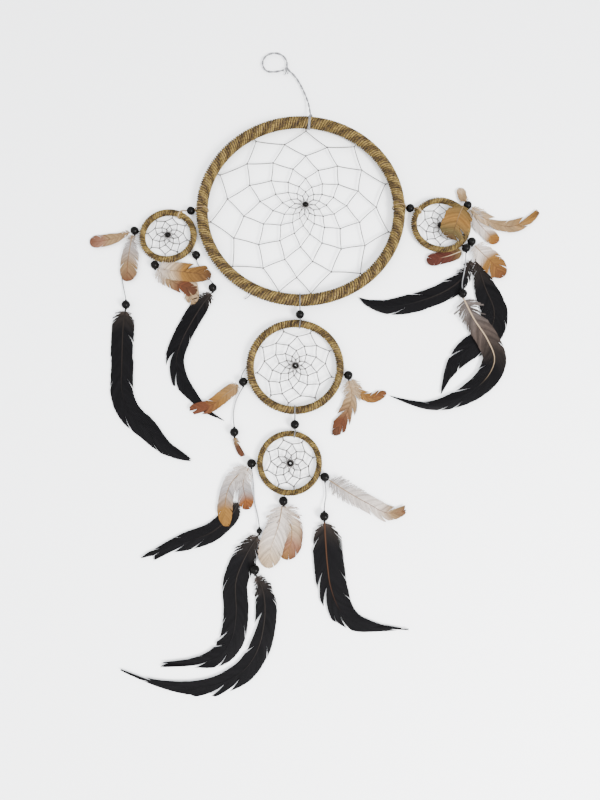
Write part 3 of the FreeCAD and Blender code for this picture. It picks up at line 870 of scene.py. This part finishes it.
for name, body in HANGING.items():
    model = small_bead if name == "b1c" else big_bead
    loose_bead(f"hanging_bead_{name}", bead_at(model, DROPS[name], (0.05, 1, 0.1)), body, f"drop_bead_{name}")
for name in ("middle", "bottom"):
    low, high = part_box(f"{name}_link_bead")
    loose_bead(f"{name}_wood_bead", bead_at(big_bead, (low + high) / 2, (0, 1, 0)), f"{name}_slider",
               f"{name}_link_bead")
bpy.data.objects.remove(big_bead)
bpy.data.objects.remove(small_bead)
print("nine loose beads in place")

# %% [markdown]
# ## Feathers
# A feather is a tapered shaft with a vane on each side.  The vane is hundreds of barbs that hook
# together; where the hooks let go, the vane splits.  Here a grid is cut into strips, one for each
# barb, and the strips are laid along the shaft.  Neighbours share an angle in small groups, and
# that makes the splits.  Barbs near the quill are loose, thin and wavy: the down.

# %% The line of a shaft
def shaft_point(spine, t):
    """Point of a smooth curve through the spine; past its end it runs straight on."""
    last = len(spine) - 1
    beyond = max(0.0, t - 1)
    t = min(max(t, 0.0), 1.0)
    i = min(int(t * last), last - 1)
    f = t * last - i
    p0, p1 = spine[max(i - 1, 0)], spine[i]
    p2, p3 = spine[i + 1], spine[min(i + 2, last)]
    place = 0.5 * (2 * p1 + (p2 - p0) * f + (2 * p0 - 5 * p1 + 4 * p2 - p3) * f * f
                   + (3 * p1 - p0 - 3 * p2 + p3) * f ** 3)
    return place + (spine[last] - spine[last - 1]) * last * beyond


def shaft_side(spine, t):
    ahead = shaft_point(spine, t + 0.02) - shaft_point(spine, max(t - 0.02, 0))
    return Vector((-ahead.y, ahead.x, 0)).normalized()


def outline(t, belly, tip, point):
    """Share of the full width: narrow at the quill, full in the middle, tapering to the tip."""
    rise = min(1.0, 0.2 + 0.8 * math.sin(min(1.0, t / belly) * math.pi / 2) ** 1.3)
    fall = 1.0 if t < tip else math.cos(min(1.0, (t - tip) / (1 - tip)) * math.pi / 2) ** point
    return rise * fall


# %% Painting points with a tint
def blend_stops(stops, t):
    for (t0, c0), (t1, c1) in zip(stops, stops[1:]):
        if t <= t1:
            f = min(1.0, max(0.0, (t - t0) / (t1 - t0)))
            return [a + (b - a) * f for a, b in zip(c0, c1)]
    return list(stops[-1][1])


def paint(mesh, colours):
    layer = mesh.color_attributes.new(name="tint", type="FLOAT_COLOR", domain="POINT")
    for value, colour in zip(layer.data, colours):
        value.color = (*colour, 1)


# %% Barbs in loose groups
def barb_groups(count, pick, ragged):
    """For each barb: change of angle, share of length, lift, and how far its tip is drawn forward."""
    barbs = []
    while len(barbs) < count:
        size = pick.randint(8, 26)
        angle = pick.uniform(-2.5, 2.5)
        parted = pick.random() < 0.5 * ragged
        gather = pick.uniform(0.6, 1.0) if parted else pick.uniform(0.0, 0.12)
        if parted:
            angle -= pick.uniform(1, 5)
        share = pick.uniform(0.95, 1.04)
        lift = pick.uniform(-0.1, 0.35)
        for k in range(size):
            barbs.append((angle, share * pick.uniform(0.98, 1.02), lift, gather * (size - 1 - k)))
    return barbs[:count]


# %% One feather
VANE_THICK = 0.09 * MM


def feather(name, origin, points, half, stops, seed, barbs=90, belly=0.15, tip=0.6, fluff=0.1, ragged=0.5,
            lean=0.0, edge=None, shaft=0.75, shaft_colour=None, open_angle=34, point=1.25):
    """Each barb leaves the shaft at `root` and its tip comes level with `barb_end`, nearer the tip."""
    pick = random.Random(seed)
    spine = [Vector((origin.x + x * MM, origin.y + y * MM, LIFT + z * MM)) for x, y, z in points]
    length = length_of([shaft_point(spine, k / 40) for k in range(41)])
    rows = 8
    columns = 4 * barbs
    sides = {side: barb_groups(barbs, pick, ragged) for side in (1, -1)}
    wild = [[pick.uniform(-1, 1) for _ in range(3)] for _ in range(2 * barbs)]
    deselect()
    bpy.ops.mesh.primitive_grid_add(x_subdivisions=columns - 1, y_subdivisions=rows - 1, size=1)
    vane = bpy.context.object
    colours = []
    for v in vane.data.vertices:
        column = round((v.co.x + 0.5) * (columns - 1))
        out = v.co.y + 0.5
        barb = column // 2
        face_edge = 1 if column % 2 else -1
        side = 1 if barb < barbs else -1
        k = barb % barbs
        angle, share, lift, drawn = sides[side][k]
        root = 0.02 + 0.96 * (k + 0.5) / barbs
        downy = max(0.0, 1 - root / fluff) if fluff > 0 else 0.0
        down = min(1.0, downy * 2)
        full = half * MM * (1 + lean * side) * share
        sway = noise.noise(Vector((k * 0.16, side * 5, seed))) + 0.2 * wild[barb][1]
        turn = math.radians((open_angle - 14 * root - angle) * (1 - down) + down * (54 + 22 * sway))
        slope = full * outline(root, belly, tip, point) / math.tan(turn) / length
        barb_end = root + (1 - root) * (1 - math.exp(-slope / (1 - root)))
        width = full * outline(barb_end, belly, tip, point) * (1 + down * 0.25 * wild[barb][0])
        forward = (barb_end - root) * out * (0.68 + 0.32 * out)
        sideways = width * out * (1.1 - 0.1 * out)
        thin = 1.7 * (1 - 0.3 * down)
        step = 0.96 / barbs
        t = min(1.0, root + forward + step * (face_edge * 0.5 * thin + drawn * (1 - down) * out ** 2))
        ply_and_sheen_wave = Vector((wild[barb][2] * 5, out * 3, seed))
        loose = down * out * half * MM * 0.35
        place = shaft_point(spine, t) + shaft_side(spine, t) * side * (sideways + loose * noise.noise(ply_and_sheen_wave))
        place.z += (0.05 * face_edge + lift * out * out + 0.35 * out * (1 - out)) * MM
        place.z += down * out * 1.6 * MM * (0.5 + noise.noise(ply_and_sheen_wave + Vector((3, 1, 7))))
        place.z = max(place.z, 0.35 * MM)
        v.co = place
        colour = blend_stops(stops, root + 0.6 * forward)
        if edge:
            strength = out ** 3 * edge[1]
            colour = [a + (b - a) * strength for a, b in zip(colour, edge[0])]
        shade = 1 + 0.2 * wild[barb][0] * (1 - down) + 0.5 * noise.noise(Vector((k * 0.22, side * 3, seed + 9)))
        colours.append([c * shade for c in colour])
    paint(vane.data, colours)
    for polygon in vane.data.polygons:
        corner = min(polygon.vertices)
        polygon.select = (corner % columns) % 2 == 1
    bpy.context.tool_settings.mesh_select_mode = (False, False, True)
    bpy.ops.object.mode_set(mode="EDIT")
    bpy.ops.mesh.delete(type="FACE")
    bpy.ops.object.mode_set(mode="OBJECT")
    bpy.ops.object.modifier_add(type="SOLIDIFY")
    vane.modifiers[-1].thickness = VANE_THICK
    vane.modifiers[-1].offset = 0
    bpy.ops.object.modifier_apply(modifier=vane.modifiers[-1].name)
    smooth(40)
    line = [shaft_point(spine, k / 30) for k in range(30)]
    radii = [shaft * MM * (1 - 0.82 * k / 29) for k in range(30)]
    rod = strand_mesh("shaft", line, radii)
    base = shaft_colour or stops[0][1]
    nearest = [min(range(30), key=lambda k: (line[k] - v.co).length) / 29 for v in rod.data.vertices]
    paint(rod.data, [blend_stops(((0, base), (0.35, base), (0.6, stops[-1][1])), t) for t in nearest])
    return joined([vane, rod], name)


# %% Colours of the feathers
JET = (0.0022, 0.002, 0.0023)
SOOT = (0.009, 0.007, 0.006)
ASH = (0.035, 0.026, 0.022)
DUSK = (0.052, 0.043, 0.039)
GREY = (0.17, 0.155, 0.15)
CREAM = (0.25, 0.185, 0.12)
WHITE = (0.34, 0.295, 0.26)
BEIGE = (0.135, 0.085, 0.042)
GOLD = (0.12, 0.058, 0.013)
ORANGE = (0.11, 0.038, 0.009)
RUST = (0.058, 0.019, 0.008)
BROWN = (0.036, 0.016, 0.008)
MAROON = (0.040, 0.011, 0.007)
OLIVE = (0.06, 0.043, 0.016)
PINK_BROWN = (0.12, 0.058, 0.036)
BLACK_STOPS = ((0, ASH), (0.06, SOOT), (0.16, JET), (1, JET))
GREY_ROOT = ((0, DUSK), (0.1, DUSK), (0.2, ASH), (0.36, SOOT), (0.46, JET), (1, JET))
print("fifteen feather colours")


# %% Long black feathers
def black(name, body, node, feathers):
    made = []
    for k, (origin, points, half, options) in enumerate(feathers):
        made.append(feather(f"{name}_{k}", origin, points, half, seed=sum(map(ord, name)) + k,
                            **{"stops": BLACK_STOPS, "barbs": 120, "shaft_colour": SOOT, **options}))
    place_piece(joined(made, name), body, BLACK_FEATHER, (node,))


black("black_plume_left", "left_outer_drop", "black_feather_l1", [
    (DROPS["l1b"], [(-0.5, -4.4, 2.4), (-2, -18, 1.0), (-1.6, -37, .9), (-0.6, -58, .9), (1, -81, .9),
                    (9, -100, .9), (26, -116, .9), (43, -132, .9), (66, -143, .8)], 10.2,
     {"belly": .12, "tip": .62, "ragged": .12, "fluff": .06, "point": .8})])
black("black_plume_left_inner", "left_inner_drop", "black_feather_l3", [
    (DROPS["l3b"], [(-0.9, -4.2, 2.4), (-8.5, -14, 1.0), (-18, -31, .9), (-27, -51, .9), (-31, -69, .9),
                    (-26, -86, .9), (-15, -101, .9), (-2, -115, .9), (15, -125, .8)], 8.4,
     {"belly": .15, "tip": .45, "ragged": .08, "lean": -.15})])
black("black_plume_bottom", "bottom_inner_drop", "black_feather_b1c", [
    (DROPS["b1c"], [(-0.6, -2.9, 1.6), (-11, -20, .9), (-19, -41, .9), (-18, -65, .9), (-21, -85, .9),
                    (-31, -98, .9), (-50, -103, .9), (-78, -103, .8)], 10.5,
     {"belly": .15, "tip": .5, "ragged": .15})])
black("black_plume_long", "bottom_long_drop", "black_feather_b4", [
    (DROPS["b4"], [(0.8, -4.4, 2.2), (7, -18, .9), (8.5, -37, .9), (4, -60, .9), (-7, -77, .9),
                   (-26, -87, .9), (-48, -90, .9), (-76, -87, .9), (-107, -78, .8)], 8.6,
     {"belly": .2, "tip": .45, "ragged": .3, "lean": .1, "fluff": .14})])
black("black_plume_bottom_right", "bottom_right_drop", "black_feather_b3b", [
    (DROPS["b3b"], [(0.2, -4.4, 2.3), (1, -20, 1.0), (2.4, -40, .9), (5, -58, .9), (12, -75, .9),
                    (24, -85, .9), (42, -89, .9), (68, -90, .8)], 12.5,
     {"belly": .15, "tip": .35, "ragged": .6, "lean": .12, "fluff": .05, "shaft_colour": BROWN})])
black("black_plume_right", "right_drop", "black_feather_r3", [
    (DROPS["r3"], [(0.6, -4.3, 3.0), (9, -24, 2.4), (20, -44, 2.3), (25, -64, 2.2), (13, -84, 2.2),
                   (-12, -100, 2.0), (-40, -105, 1.6), (-72, -96, 1.2)], 10.5,
     {"belly": .08, "tip": .45, "ragged": .12, "fluff": .12, "stops": GREY_ROOT, "shaft_colour": CREAM})])
R2 = (TIED["r2a"] + TIED["r2b"]) / 2
R2.z = 0
black("black_plumes_right_pair", "right_lower_tuft", "black_feathers_r2", [
    (R2, [(2, -14, 1.8), (-7, -32, 1.0), (-25, -46, .9), (-50, -56, .9), (-75, -61, .9), (-94, -58, .9),
          (-105, -51.5, .8)], 9.2, {"belly": .3, "tip": .5, "ragged": .2, "fluff": .16}),
    (R2, [(6, -13.5, 1.8), (13, -41, .8), (20, -66, .8), (12, -88, .8), (-11, -106, .8), (-25, -124, .7),
          (-34, -145, .6)], 12.0, {"belly": .25, "tip": .45, "ragged": .3})])
black("black_plume_bottom_left", "bottom_left_tuft", "black_feather_b1", [
    (TIED["b1"], [(-11, -33, 1.0), (-17, -44, .6), (-33, -58, .6), (-53, -65, .6), (-72, -71, .6),
                  (-92, -79, .6)], 8.0, {"belly": .25, "tip": .5, "barbs": 90, "ragged": .15})])
print("nine black feathers")


# %% Small brown, beige and grey feathers
def small(name, body, node, feathers):
    made = []
    for k, (origin, points, half, stops, options) in enumerate(feathers):
        made.append(feather(f"{name}_{k}", origin, points, half, stops, sum(map(ord, name)) + 31 * k,
                            **{"barbs": 96, "belly": .2, "tip": .7, "fluff": .25, "ragged": .25, "shaft": .5,
                               "point": .6, "open_angle": 46, "shaft_colour": BEIGE, **options}))
    place_piece(joined(made, name), body, SOFT_FEATHER, (node,))


small("tuft_left", "left_tuft", "small_feathers_l1", [
    (TIED["l1"], [(-2.0, -4.1, 3.6), (-4, -20, 2.7), (-5, -36, 2.3), (-4, -51, 2.0)], 8.5,
     ((0, BEIGE), (.2, GREY), (.6, BEIGE), (1, RUST)), {"lean": .2, "ragged": .6, "belly": .5}),
    (TIED["l1"], [(-4.6, -1.2, 3.2), (-16, -6, 2.2), (-30, -9, 1.4), (-43, -10, 1.0)], 6.5,
     ((0, BEIGE), (.5, BEIGE), (.7, PINK_BROWN), (1, RUST)), {"belly": .7, "tip": .8})])
small("tuft_left_lower", "left_lower_tuft", "small_feathers_l2", [
    (TIED["l2"], [(3.6, -2.8, 3.2), (16, -5, 2.6), (34, -7, 2.3), (53, -10, 1.8)], 9.0,
     ((0, WHITE), (.3, CREAM), (.5, GOLD), (1, BROWN)), {"fluff": .15, "ragged": .6, "open_angle": 56}),
    (TIED["l2"], [(2.4, -4.2, 3.0), (12, -13, 2.0), (25, -20, 1.8), (40, -26, 1.7)], 7.0,
     ((0, WHITE), (.35, BEIGE), (.65, RUST), (1, BROWN)), {"ragged": .6, "open_angle": 56}),
    (TIED["l2"], [(30, -9, 1.6), (33, -18, 1.4), (35, -27, 1.3), (36, -38, 1.2)], 7.0,
     ((0, CREAM), (1, BEIGE)), {"fluff": 0, "barbs": 60})])
small("tuft_middle_left", "middle_left_tuft", "small_feathers_m1", [
    (TIED["m1"], [(-4.0, -2.6, 3.4), (-15, -11, 3.0), (-29, -22, 2.9), (-47, -24, 2.8)], 6.0,
     ((0, BEIGE), (.45, GOLD), (.7, RUST), (1, RUST)), {"fluff": .1, "ragged": .5})])
small("wisp_middle", "middle_drop", "small_feather_m1b", [
    (DROPS["m1b"], [(0.2, -4.5, 2.6), (2, -9, 1.4), (4, -14, 1.0), (7, -21, .8)], 2.8,
     ((0, BEIGE), (.5, BROWN), (1, RUST)), {"barbs": 30, "fluff": .2})])
small("tuft_middle_right", "middle_right_tuft", "small_feathers_m2", [
    (TIED["m2"], [(3.2, -3.5, 2.6), (9, -14, 1.4), (20, -20, 1.0), (34, -15, .8)], 4.6,
     ((0, CREAM), (.4, GOLD), (1, RUST)), {"fluff": .2}),
    (TIED["m2"], [(0.2, -4.5, 2.6), (3, -20, 1.4), (-4, -38, 1.0), (-14, -54, .8)], 7.0,
     ((0, CREAM), (.4, BEIGE), (.7, RUST), (1, BROWN)), {"ragged": .9, "point": .8, "fluff": .3})])
small("tuft_bottom_left", "bottom_left_tuft", "small_feathers_b1", [
    (TIED["b1"], [(-2.5, -3.8, 3.2), (-7, -16, 2.4), (-5, -28, 2.2), (-2, -39, 2.0)], 6.8,
     ((0, WHITE), (.5, GREY), (.75, ORANGE), (1, RUST)), {}),
    (TIED["b1"], [(-4.2, -2.6, 3.2), (-18, -18, 2.0), (-22, -36, 1.8), (-20, -53, 1.6)], 6.5,
     ((0, WHITE), (.4, GREY), (.7, GOLD), (1, GOLD)), {"ragged": .5})])
small("tuft_bottom_middle", "bottom_middle_tuft", "small_feathers_b2", [
    (TIED["b2"], [(-1.0, -4.3, 3.6), (-4, -20, 2.7), (-10, -38, 2.3), (-13, -55, 2.0)], 10.0,
     ((0, WHITE), (.5, WHITE), (.8, CREAM), (1, CREAM)), {"fluff": .3, "edge": (BEIGE, .4)}),
    (TIED["b2"], [(1.2, -4.5, 2.8), (6, -18, 1.6), (7, -32, 1.2), (1, -48, 1.0)], 9.5,
     ((0, WHITE), (.45, CREAM), (.7, PINK_BROWN), (1, GOLD)), {"fluff": .3, "edge": (RUST, .9)})])
small("tuft_bottom_right", "bottom_right_tuft", "small_feathers_b3", [
    (TIED["b3"], [(3.8, -2.6, 3.2), (20, -13, 2.6), (38, -23, 1.8), (52, -30, 1.2), (69, -29, 1.0)], 7.5,
     ((0, GREY), (.6, WHITE), (.8, BEIGE), (1, RUST)),
     {"belly": .15, "tip": .6, "fluff": .35, "barbs": 120, "point": .6, "shaft_colour": BEIGE})])
small("tuft_right", "right_tuft", "small_feathers_r1", [
    (TIED["r1"], [(4.4, -1.4, 3.0), (17, -13, 1.6), (33, -20, 1.2), (48, -19, 1.0), (70, -6, .8)], 6.2,
     ((0, CREAM), (.4, BEIGE), (.65, BEIGE), (.85, GOLD), (1, BROWN)),
     {"ragged": .7, "fluff": .15, "point": .9}),
    (TIED["r1"], [(2.6, -4.0, 2.8), (10, -17, 1.4), (20, -30, 1.0), (27, -38, .8)], 7.0,
     ((0, GREY), (.5, WHITE), (.7, GOLD), (1, ORANGE)), {"ragged": .5})])
OVER = 6.9
small("tuft_over_right_hoop", "right_hoop", "small_feathers_right_hoop", [
    (TIED["r1"], [(-5, -2.2, OVER), (-10, -13, OVER - .4), (-15, -27, OVER - 1.2), (-19, -36, OVER - 1.4)],
     13.0, ((0, OLIVE), (.4, GOLD), (.7, OLIVE), (1, BROWN)),
     {"ragged": .7, "fluff": .1, "open_angle": 62, "belly": .1}),
    (TIED["r1"], [(-1.5, 4.4, 3.0), (-3, 10, 1.4), (-4, 15, 1.0), (-4, 21, .8)], 4.4,
     ((0, BEIGE), (.5, BEIGE), (1, CREAM)), {"barbs": 44, "fluff": .1})])
small("tuft_right_lower", "right_lower_tuft", "small_feathers_r2", [
    (TIED["r2b"], [(-4.0, -2.6, 3.2), (-16, -7, 2.0), (-28, -10, 1.6), (-37, -13, 1.2)], 6.6,
     ((0, OLIVE), (.3, MAROON), (1, MAROON)), {"shaft_colour": CREAM, "fluff": .05, "ragged": 0}),
    (TIED["r2a"], [(2.8, -3.8, 3.4), (11, -13, 3.0), (19, -22, 2.8), (27, -36, 2.6)], 10.5,
     ((0, WHITE), (.3, WHITE), (.5, GOLD), (1, RUST)), {"fluff": .15, "ragged": .8, "open_angle": 56})])
print("nineteen small feathers")

# %% [markdown]
# ## Ties and loose ends
# Each bead is held by black thread: a short stem that comes out of the twine, and a knot under the
# bead.  The cords to the side hoops end in a loop of tan cord round each small ring.  These are
# small, but they show how the piece was put together by hand.

# %% Stems, knots and the loops on the side hoops
TIE = 0.8 * MM


def bead_knots(place, radius, top=True):
    """Knots where the thread enters and leaves a bead."""
    made = [overhand("bead_knot", place + Vector((0.2 * MM, -radius - 0.1 * MM, -0.6 * MM)), 0.8 * MM, 0.7 * MM,
                     (1.3, 0.2, 0.3))]
    if top:
        made.append(overhand("bead_knot", place + Vector((0, radius + 0.1 * MM, 0.2 * MM)), 0.8 * MM, 0.7 * MM,
                             (1.4, 0, -0.4)))
    return made


for label, beads in TIES.items():
    hoop = HOOPS[label]
    made = []
    for name, degrees, _ in beads:
        inner_end = hoop.at(degrees, hoop.out - 0.6 * MM, -0.4 * MM)
        outward = (TIED[name] - inner_end).normalized()
        stem = [inner_end, inner_end + outward * 0.9 * MM, TIED[name] - outward * BEAD * 0.42]
        made.append(strand_mesh("bead_stem", stem, [TIE / 2] * 3))
        made += bead_knots(TIED[name], BEAD / 2, top=False)
    place_piece(joined(made, f"{label}_bead_ties"), f"{label}_hoop", BLACK_CORD)
    print(f"{label} hoop: {len(beads)} beads tied")

for name, body in HANGING.items():
    radius = EYE_BEAD / 2 if name == "b1c" else BEAD / 2
    place_piece(joined(bead_knots(DROPS[name], radius), f"knots_{name}"), body, BLACK_CORD)

for label, degrees in (("left", 64.5), ("right", 144.5)):
    loops = [tie_loop("side_loop", HOOPS[label], degrees + k, 0.8 * MM, 0.04 * k) for k in (-1, 1)]
    place_piece(joined(loops, f"{label}_side_loops"), f"{label}_hoop", TAN_CORD)

# %% A curled end and a stray tail
curl_points = [(-2, 2.6, 3.4), (-1, 8, 2.2), (1.5, 13, 1.2), (5, 17.5, 1.0), (9, 20, .9)]
curl = [TIED["m1"] + Vector((x * MM, y * MM, 0)) for x, y, z in curl_points]
for place, (_, _, z) in zip(curl, curl_points):
    place.z = LIFT + z * MM
curled = strand_mesh("curled_end", [shaft_point(curl, k / 20) for k in range(21)], [0.4 * MM] * 21)
place_piece(curled, "middle_hoop", BLACK_CORD)
tail = [from_big(-44, -83, 4), from_big(-46.5, -87, 2.6), from_big(-49, -89.5, 1.4), from_big(-52, -91, .9)]
stray = strand_mesh("stray_tail", [shaft_point(tail, k / 12) for k in range(13)], [0.4 * MM] * 13)
place_piece(stray, "big_hoop", THREAD)
print("two loose thread ends")

# %% [markdown]
# ## Parts that stay as the frame made them
# The ring cores are hidden under the twine, and the short linking cords are already round and true,
# so both keep their shape from the frame and only change their finish.

# %% Finish the kept parts
KEPT = {"_ring": CORE, "left_link": TAN_CORD, "right_link": TAN_CORD, "middle_link": CORD, "bottom_link": CORD}
for node_object in list(bpy.data.objects):
    for ending, material in KEPT.items():
        if node_object.type == "MESH" and node_object.name.endswith(ending):
            for slot_entry in node_object.material_slots:
                slot_entry.material = material
            print("refinished", node_object.name)

# %% Measure the box round everything shown, leaving out the backdrop
low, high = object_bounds()
